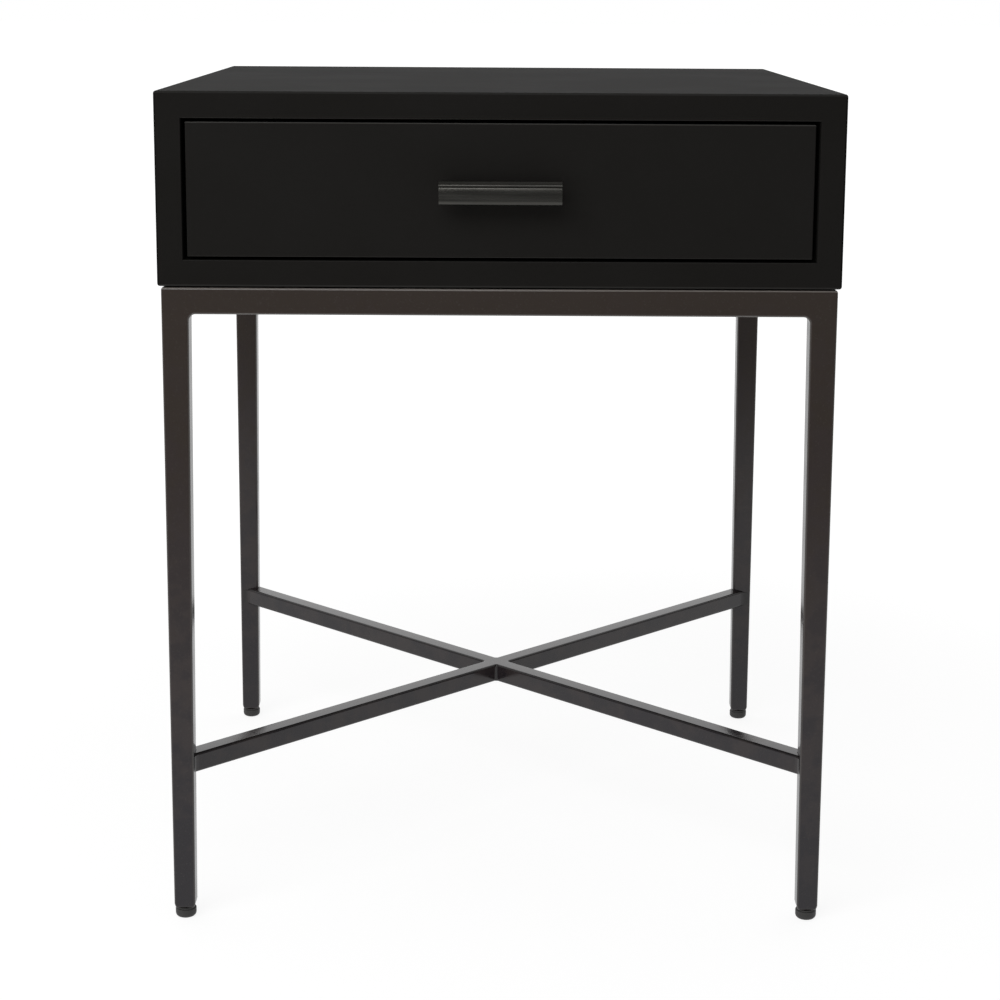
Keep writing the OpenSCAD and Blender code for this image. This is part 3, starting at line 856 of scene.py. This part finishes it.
def makeBoardGrain():
    # plywood: X along the grain, Z through the plies
    inputs = {"Place": (0, 0, 0), "Facing": (0, 0, 1), "Ply": 0.0014}
    group, given, wanted = startGroup("boardGrain", inputs, ("Tone", "Fibre", "EdgeGrain", "Glue"))
    figure = noise(group, stretched(group, given["Place"], (3, 55, 3)), 1.6, detail=5, rough=0.68)
    fibre = noise(group, stretched(group, given["Place"], (22, 900, 900)), 1, detail=3, rough=0.6)
    streaks = noise(group, stretched(group, given["Place"], (6, 320, 320)), 1, detail=3, rough=0.65)
    fine = calculate(group, "ADD", times(group, streaks, 0.35), times(group, fibre, 0.25))
    both = calculate(group, "ADD", times(group, figure, 0.4), fine)
    group.links.new(span(group, both, 0, 1, start=0.38, end=0.62), wanted["Tone"])
    group.links.new(fibre, wanted["Fibre"])

    # the dark plies and the glue between them show on the board's edges only
    layer = calculate(group, "DIVIDE", axes(group, given["Place"])[2], given["Ply"])
    half = calculate(group, "FRACT", times(group, layer, 0.5))
    seam = calculate(group, "PINGPONG", layer, 0.5)
    side = calculate(group, "ABSOLUTE", axes(group, given["Facing"])[2])
    onEdge = span(group, side, 1, 0, start=0.4, end=0.7)
    plies = span(group, half, 0, 1, start=0.46, end=0.54)
    glue = span(group, seam, 1, 0, start=0.02, end=0.09)
    group.links.new(times(group, plies, onEdge), wanted["EdgeGrain"])
    group.links.new(times(group, glue, onEdge), wanted["Glue"])
    return group


def makeDrawnLines():
    # fine lines along X, left by rolling, drawing or brushing
    inputs = {"Place": (0, 0, 0), "Fine": 1400.0}
    group, given, wanted = startGroup("drawnLines", inputs, ("Lines", "Bands"))
    lines = noise(group, stretched(group, given["Place"], (0.012, 1, 1)), given["Fine"])
    broad = times(group, given["Fine"], 0.12)
    bands = noise(group, stretched(group, given["Place"], (0.05, 1, 1)), broad, detail=3)
    group.links.new(span(group, lines, 0, 1, start=0.3, end=0.7), wanted["Lines"])
    group.links.new(span(group, bands, 0, 1, start=0.3, end=0.7), wanted["Bands"])
    return group


def makePlatedTone():
    # a soft crystal pattern and dull patches, for plated and turned metal
    inputs = {"Place": (0, 0, 0), "Crystals": 260.0}
    group, given, wanted = startGroup("platedTone", inputs, ("Tone", "Patch"))
    crystals = {"Vector": given["Place"], "Scale": given["Crystals"], "Randomness": 1.0}
    cells = addNode(group, "ShaderNodeTexVoronoi", crystals).outputs["Color"]
    patches = noise(group, given["Place"], 40.0, detail=4, rough=0.6)
    tone = addNode(group, "ShaderNodeSeparateColor", {"Color": cells}).outputs[0]
    group.links.new(tone, wanted["Tone"])
    group.links.new(span(group, patches, 0, 1, start=0.35, end=0.65), wanted["Patch"])
    return group


fineGrain, edgeMask, boardGrain = makeFineGrain(), makeEdgeMask(), makeBoardGrain()
drawnLines, platedTone = makeDrawnLines(), makePlatedTone()


def newMaterial(name, fixed):
    # a Principled surface whose even values stand on its own sockets, and its coordinates
    material = bpy.data.materials.new(name)
    material.use_nodes = True
    tree = material.node_tree
    shader = next(node for node in tree.nodes if node.type == "BSDF_PRINCIPLED")
    for label, value in fixed.items():
        shader.inputs[label].default_value = value
    return material, tree, shader, addNode(tree, "ShaderNodeTexCoord").outputs


def placeGrain(tree, where, grain, clouds):
    return placeGroup(tree, fineGrain, {"Place": where["Object"], "Grain": grain, "Clouds": clouds})


def connect(tree, shader, colour, roughness, height, depth):
    bump = addNode(tree, "ShaderNodeBump", {"Height": height, "Distance": depth, "Strength": 1.0})
    tree.links.new(colour, shader.inputs["Base Color"])
    tree.links.new(roughness, shader.inputs["Roughness"])
    tree.links.new(bump.outputs["Normal"], shader.inputs["Normal"])


# ---- finishes

bronze = {
    "shadeByHeight": [  # painted shade by height in metres: darker towards the floor, with the clouds on top
        (0.05, (0.0144, 0.0118, 0.015)),
        (0.25, (0.0335, 0.0255, 0.0245)),
        (0.45, (0.0315, 0.0232, 0.0185)),
    ],
    "cloudDrift": 0.07,
    "worn": (0.055, 0.048, 0.043),
    "wornShare": 0.25,
    "grain": 1100.0,
    "clouds": 45.0,
    "roughness": (0.11, 0.18),
    "skinDepth": 0.000012,
    # painted highlight: the legs' rounded edges are lighter
    "legEdgeHighlight": {"Mask": ((0.075, 0.066, 0.06), 0.55)},  # tone and share
    # painted highlights on the rails' upper and lower rounded edges
    "railEdgeHighlight": {"Upward": ((0.22, 0.2, 0.185), 0.9), "Downward": ((0.17, 0.16, 0.15), 0.7)},
    # painted shade: a dark line along the stretcher bars' rounded edges
    "barEdgeShade": {"Mask": ((0.013, 0.012, 0.0115), 0.8)},
    "barTurn": math.radians(45),
}


def bronzePaint(name, turn, paintedEdgeShading):
    # powder coat, painted darker towards the floor as shade and with painted highlights or shade on its
    # edges: turn lines the edge mask up with the bars that run slantwise
    material, tree, shader, where = newMaterial(name, {"IOR": 1.5})
    skin = placeGrain(tree, where, bronze["grain"], bronze["clouds"])
    slant = {"Vector": where["Normal"], "Rotation": (0, 0, turn)}
    facing = addNode(tree, "ShaderNodeMapping", slant, vector_type="VECTOR").outputs["Vector"]
    edge = placeGroup(tree, edgeMask, {"Facing": facing})
    drift = span(tree, skin["Cloud"], -bronze["cloudDrift"], bronze["cloudDrift"])
    height = axes(tree, where["Object"])[2]
    # painted shade: the paint darkens towards the floor, standing in for how the light falls on the frame
    paint = ramp(tree, calculate(tree, "ADD", height, drift), bronze["shadeByHeight"])
    paint = tint(tree, paint, skin["Speck"], bronze["wornShare"], bronze["worn"])
    # painted highlights and painted shade along the rounded edges
    for which, (tone, share) in paintedEdgeShading.items():
        paint = tint(tree, paint, edge[which], share, tone)
    roughness = span(tree, skin["Cloud"], *bronze["roughness"])
    connect(tree, shader, paint, roughness, skin["Height"], bronze["skinDepth"])
    return material


lacquer = {
    "deep": (0.0102, 0.0095, 0.0086),
    "pale": (0.0114, 0.0107, 0.0099),
    "edgeFull": 0.92,
    # painted edge shading: the edges darkened as painted shade, the upper and lower edges lightened as
    # painted highlights
    "paintedEdgeShading": {
        "Mask": (0.0045, 0.0044, 0.0041),
        "Upward": (0.06, 0.058, 0.055),
        "Downward": (0.034, 0.033, 0.031),
    },
    "peel": 260.0,
    "clouds": 9.0,
    "roughness": (0.71, 0.74),
    "peelDepth": 0.00003,
    "panels": {"shine": 0.05, "paintedEdgeShares": {"Mask": 1, "Upward": 0.3, "Downward": 0.8}},
    "front": {"shine": 0.08, "paintedEdgeShares": {"Upward": 0.8, "Downward": 0.6}},
    "back": {"shine": 0.12, "paintedEdgeShares": {"Mask": 1}, "roughness": (0.62, 0.75), "peelDepth": 0.00008},
}


def blackLacquer(name, part):
    # what a part doesn't say of itself is the same on all
    look = {**lacquer, **lacquer[part]}
    material, tree, shader, where = newMaterial(name, {"Specular IOR Level": look["shine"]})
    skin = placeGrain(tree, where, look["peel"], look["clouds"])
    edge = placeGroup(tree, edgeMask, {"Facing": where["Normal"], "Full": look["edgeFull"]})
    paint = mixColour(tree, skin["Cloud"], look["deep"], look["pale"])
    # painted shade and painted highlights along the rounded edges
    for which, share in look["paintedEdgeShares"].items():
        paint = tint(tree, paint, edge[which], share, look["paintedEdgeShading"][which])
    roughness = span(tree, skin["Cloud"], *look["roughness"])
    connect(tree, shader, paint, roughness, skin["Height"], look["peelDepth"])
    return material


handleMetal = {
    "dark": (0.054, 0.053, 0.048),
    "light": (0.086, 0.084, 0.077),
    "metallic": 0.85,
    # painted highlight: the share of the light tone on the rounded edges
    "edgeHighlightShare": 0.5,
    "lines": 2200.0,
    "roughness": (0.23, 0.32),
    "lineDepth": 0.0000015,
}


def drawnBronze(name):
    material, tree, shader, where = newMaterial(name, {"Metallic": handleMetal["metallic"]})
    drawn = placeGroup(tree, drawnLines, {"Place": where["Object"], "Fine": handleMetal["lines"]})
    edge = placeGroup(tree, edgeMask, {"Facing": where["Normal"]})["Mask"]
    metal = mixColour(tree, drawn["Bands"], handleMetal["dark"], handleMetal["light"])
    # painted highlight along the rounded edges
    metal = tint(tree, metal, edge, handleMetal["edgeHighlightShare"], handleMetal["light"])
    roughness = span(tree, drawn["Lines"], *handleMetal["roughness"])
    connect(tree, shader, metal, roughness, drawn["Lines"], handleMetal["lineDepth"])
    return material


nylon = {
    "deep": (0.03, 0.029, 0.028),
    "pale": (0.038, 0.037, 0.036),
    "scuff": (0.06, 0.058, 0.055),
    "scuffShare": 0.6,
    "grain": 1500.0,
    "clouds": 120.0,
    "roughness": (0.45, 0.58),
    "skinDepth": 0.00004,
}


def mouldedNylon(name):
    material, tree, shader, where = newMaterial(name, {"IOR": 1.5})
    skin = placeGrain(tree, where, nylon["grain"], nylon["clouds"])
    colour = mixColour(tree, skin["Cloud"], nylon["deep"], nylon["pale"])
    colour = tint(tree, colour, skin["Speck"], nylon["scuffShare"], nylon["scuff"])
    roughness = span(tree, skin["Cloud"], *nylon["roughness"])
    connect(tree, shader, colour, roughness, skin["Height"], nylon["skinDepth"])
    return material


plywood = {
    "pale": (0.60, 0.46, 0.30),
    "ripe": (0.50, 0.355, 0.205),
    "endGrain": (0.36, 0.235, 0.125),
    "glue": (0.2, 0.12, 0.06),
    "glueShare": 0.6,
    "ply": 1.5 * mm,
    "shine": 0.4,
    "roughness": (0.38, 0.5),
    "fibreDepth": 0.00004,
}


def birchPly(name, order):
    # order names the board's own axes: along the grain, across it, and through the plies
    material, tree, shader, where = newMaterial(name, {"Specular IOR Level": plywood["shine"]})

    def reordered(vector):
        parts = axes(tree, vector)
        turned = {mine: parts[theirs] for mine, theirs in zip("XYZ", order)}
        return addNode(tree, "ShaderNodeCombineXYZ", turned).outputs[0]

    place, facing = reordered(where["Object"]), reordered(where["Normal"])
    board = placeGroup(tree, boardGrain, {"Place": place, "Facing": facing, "Ply": plywood["ply"]})
    colour = mixColour(tree, board["Tone"], plywood["ripe"], plywood["pale"])
    colour = mixColour(tree, board["EdgeGrain"], colour, plywood["endGrain"])
    colour = tint(tree, colour, board["Glue"], plywood["glueShare"], plywood["glue"])
    roughness = span(tree, board["Tone"], *plywood["roughness"])
    connect(tree, shader, colour, roughness, board["Fibre"], plywood["fibreDepth"])
    return material


metals = {
    "zincRunner": {
        "colour": (0.36, 0.36, 0.355), "dull": (0.29, 0.29, 0.285),
        "crystals": 420.0, "roughness": (0.26, 0.34), "lines": 900.0,
    },
    "zincScrew": {
        "colour": (0.6, 0.6, 0.58), "dull": (0.44, 0.44, 0.42),
        "crystals": 900.0, "roughness": (0.28, 0.42), "lines": 2500.0,
    },
    "bearingSteel": {
        "colour": (0.76, 0.77, 0.78), "dull": (0.66, 0.67, 0.68),
        "crystals": 1500.0, "roughness": (0.1, 0.16), "lines": 4000.0,
    },
    "turnedBrass": {
        "colour": (0.72, 0.55, 0.28), "dull": (0.55, 0.4, 0.19),
        "crystals": 1200.0, "roughness": (0.25, 0.38), "lines": 3000.0,
    },
}
crystalDark, patchShare, metalLineDepth = 0.94, 0.4, 0.000004


def brightMetal(name):
    # zinc, steel or brass with a crystal tone, dull patches and the lines of rolling or turning
    look = metals[name]
    material, tree, shader, where = newMaterial(name, {"Metallic": 1.0})
    tone = placeGroup(tree, platedTone, {"Place": where["Object"], "Crystals": look["crystals"]})
    drawn = placeGroup(tree, drawnLines, {"Place": where["Object"], "Fine": look["lines"]})
    dark = [crystalDark * channel for channel in look["colour"]]
    metal = mixColour(tree, tone["Tone"], dark, look["colour"])
    metal = tint(tree, metal, tone["Patch"], patchShare, look["dull"])
    roughness = span(tree, tone["Patch"], *look["roughness"])
    connect(tree, shader, metal, roughness, drawn["Lines"], metalLineDepth)
    return material


finishes = {
    # the three bronze paints are copies that differ in their painted edge highlights and shade; the turned
    # one also turns its edge mask
    "bronze": bronzePaint("bronzePaint", 0, bronze["legEdgeHighlight"]),
    "bronzeRing": bronzePaint("bronzePaintRing", 0, bronze["railEdgeHighlight"]),
    "bronzeTurned": bronzePaint("bronzePaintTurned", bronze["barTurn"], bronze["barEdgeShade"]),
    "lacquer": blackLacquer("blackLacquer", "panels"),
    "lacquerFront": blackLacquer("blackLacquerFront", "front"),
    "lacquerBack": blackLacquer("blackLacquerBack", "back"),
    "handle": drawnBronze("drawnBronze"),
    "nylon": mouldedNylon("mouldedNylon"),
    "plyAlongY": birchPly("birchPlySides", "YZX"),
    "plyAlongX": birchPly("birchPlyEnds", "XZY"),
    "plyFlat": birchPly("birchPlyBottom", "XYZ"),
    "runner": brightMetal("zincRunner"),
    "screw": brightMetal("zincScrew"),
    "ball": brightMetal("bearingSteel"),
    "brass": brightMetal("turnedBrass"),
}
print("finishes:", len(finishes))


# ---- pieces meet the frame: what each rides on, replaces and is finished with

def fit(piece, node, body, finish):
    piece.data.materials.clear()
    piece.data.materials.append(finishes[finish])
    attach(piece, body)
    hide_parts(node)


for side, piece in cabinetPanels.items():
    fit(piece, side + "_panel", "root", "lacquer")
for node, piece in framePieces.items():
    fit(piece, node, "root", "bronzeRing" if node.startswith("rail") else "bronze")
for node, piece in stretcherPieces.items():
    fit(piece, node, "root", "bronzeTurned")
for node, piece in glidePieces.items():
    fit(piece, node, "root", "nylon")
fit(frontPiece, "drawer_front", "drawer", "lacquerFront")
fit(handleBarPiece, "handle_bar", "drawer", "handle")
fit(handlePostPiece, "handle_posts", "drawer", "handle")

finishOfSlot = {
    "frame_metal": "bronze",
    "black_lacquer": "lacquerBack",
    "handle_metal": "handle",
    "foot_plastic": "nylon",
    "box_plywood": "plyFlat",
    "runner_steel": "runner",
    "ball_steel": "ball",
    "zinc_screw": "screw",
    "insert_brass": "brass",
}
finishOfNode = {
    "box_side_left": "plyAlongY",
    "box_side_right": "plyAlongY",
    "box_front": "plyAlongX",
    "box_back": "plyAlongX",
}
softEdge = {"width": 0.6 * mm, "steps": 2, "flatBelow": 1}


def softenBoard(node):
    # a fine round on the edges of a board, once its flat sides are single faces
    weld = node.modifiers.new("weld", "WELD")
    weld.merge_threshold = nearPlace
    plain = node.modifiers.new("plainSides", "DECIMATE")
    plain.decimate_type = "DISSOLVE"
    plain.angle_limit = math.radians(softEdge["flatBelow"])
    bevel = node.modifiers.new("softEdge", "BEVEL")
    bevel.width = softEdge["width"]
    bevel.segments = softEdge["steps"]
    bevel.limit_method = "ANGLE"
    bevel.angle_limit = math.radians(sharp)
    bevel.harden_normals = True


for part in frame["record"]["subparts"]:
    name = part["node"]
    node = nodes[name]
    if node.hide_render:
        continue
    finish = finishes[finishOfNode.get(name, finishOfSlot[part["material_slot"]])]
    for holder in node.material_slots:
        holder.material = finish
    if name.startswith("box_") or name == "back_panel":
        softenBoard(node)
print("pieces fitted")


# ---- floor, backdrop and light

studio = {
    "floorHalf": 40.0,
    "floorGlow": (0.85, 0.97),    # what the camera sees of the floor without light on it, near and far
    "glowBetween": (0.4, 1.6),    # how far from the table near and far are
    "floorTone": 0.25,
    "floorBounce": 0.8,           # how the floor lights the object
    "glossGlow": (0.2, 0.78),     # what gloss shows of the floor far in front of the table and close to it
    "glossBetween": (-1.8, -0.3),  # where far and close are, along Y
    "frontTone": 0.11,            # what gloss shows in front of the table, where the room is dim
    "roomBetween": (-0.1, 0.45),  # from the dim front of the room to the bright back
    "leftTone": 0.12,             # how much lighter the room is on the left
    "leftBetween": (-0.35, 0.35),
    "skyForDiffuse": (0.3, 0.6),  # how the room lights the object from the front and from behind
    "keyPlace": (-0.95, -2.15, 1.95),
    "keyAim": (0, -0.24, 0.5),
    "keySize": (2.6, 1.2),
    "keyPower": 32.0,
    "fillPlace": (-1.1, -2.1, 0.4),
    "fillSize": (2.6, 0.6),
    "fillPower": 10.0,
}


def grey(value):
    return (value, value, value, 1)


def addFloor():
    deselectAll()
    bpy.ops.mesh.primitive_plane_add(size=2 * studio["floorHalf"])
    floor = bpy.context.object
    floor.name = floor.data.name = "floor"
    material = bpy.data.materials.new("paleFloor")
    material.use_nodes = True
    tree = material.node_tree
    tree.nodes.clear()
    ray = addNode(tree, "ShaderNodeLightPath").outputs
    place = addNode(tree, "ShaderNodeTexCoord").outputs["Object"]
    away = addNode(tree, "ShaderNodeVectorMath", {0: place}, operation="LENGTH").outputs["Value"]

    def blend(factor, first, second):
        return addNode(tree, "ShaderNodeMixShader", {0: factor, 1: first, 2: second}).outputs[0]

    def glowing(strength):
        return addNode(tree, "ShaderNodeEmission", {"Color": grey(1), "Strength": strength}).outputs[0]

    def painted(value):
        return addNode(tree, "ShaderNodeBsdfDiffuse", {"Color": grey(value)}).outputs[0]

    glow = glowing(span(tree, away, *studio["floorGlow"], *studio["glowBetween"]))
    seen = addNode(tree, "ShaderNodeAddShader", {0: glow, 1: painted(studio["floorTone"])}).outputs[0]
    gloss = glowing(span(tree, axes(tree, place)[1], *studio["glossGlow"], *studio["glossBetween"]))
    surface = blend(ray["Is Glossy Ray"], painted(studio["floorBounce"]), gloss)
    direct = calculate(tree, "MAXIMUM", ray["Is Camera Ray"], ray["Is Transmission Ray"])
    surface = blend(direct, surface, seen)
    addNode(tree, "ShaderNodeOutputMaterial", {"Surface": surface})
    floor.data.materials.append(material)


def addBackdrop():
    world = bpy.data.worlds.new("paleRoom")
    bpy.context.scene.world = world
    world.use_nodes = True
    tree = world.node_tree
    tree.nodes.clear()
    ray = addNode(tree, "ShaderNodeLightPath").outputs
    across, behind = axes(tree, addNode(tree, "ShaderNodeTexCoord").outputs["Generated"])[:2]

    def lit(strength):
        return addNode(tree, "ShaderNodeBackground", {"Color": grey(1), "Strength": strength}).outputs[0]

    left = span(tree, across, studio["leftTone"], 0, *studio["leftBetween"])
    room = calculate(tree, "ADD", span(tree, behind, studio["frontTone"], 1, *studio["roomBetween"]), left)
    fill = span(tree, behind, *studio["skyForDiffuse"], *studio["roomBetween"])
    strength = addNode(
        tree, "ShaderNodeMix", {"Factor": ray["Is Diffuse Ray"], "A": room, "B": fill}, data_type="FLOAT"
    ).outputs["Result"]
    mixed = addNode(tree, "ShaderNodeMixShader", {0: ray["Is Camera Ray"], 1: lit(strength), 2: lit(1.0)})
    addNode(tree, "ShaderNodeOutputWorld", {"Surface": mixed.outputs[0]})


def addSoftbox(name, place, aim, size, power, mirrored):
    data = bpy.data.lights.new(name, "AREA")
    data.shape = "RECTANGLE"
    data.size, data.size_y = size
    data.energy = power
    lamp = bpy.data.objects.new(name, data)
    bpy.context.scene.collection.objects.link(lamp)
    lamp.location = place
    lamp.visible_glossy = mirrored
    lamp.rotation_euler = (Vector(aim) - Vector(place)).to_track_quat("-Z", "Y").to_euler()


addFloor()
addBackdrop()
addSoftbox("keyBox", studio["keyPlace"], studio["keyAim"], studio["keySize"], studio["keyPower"], True)
addSoftbox("fillBox", studio["fillPlace"], studio["keyAim"], studio["fillSize"], studio["fillPower"], False)
bpy.context.scene.view_settings.view_transform = "Standard"
print("floor, backdrop and light set")
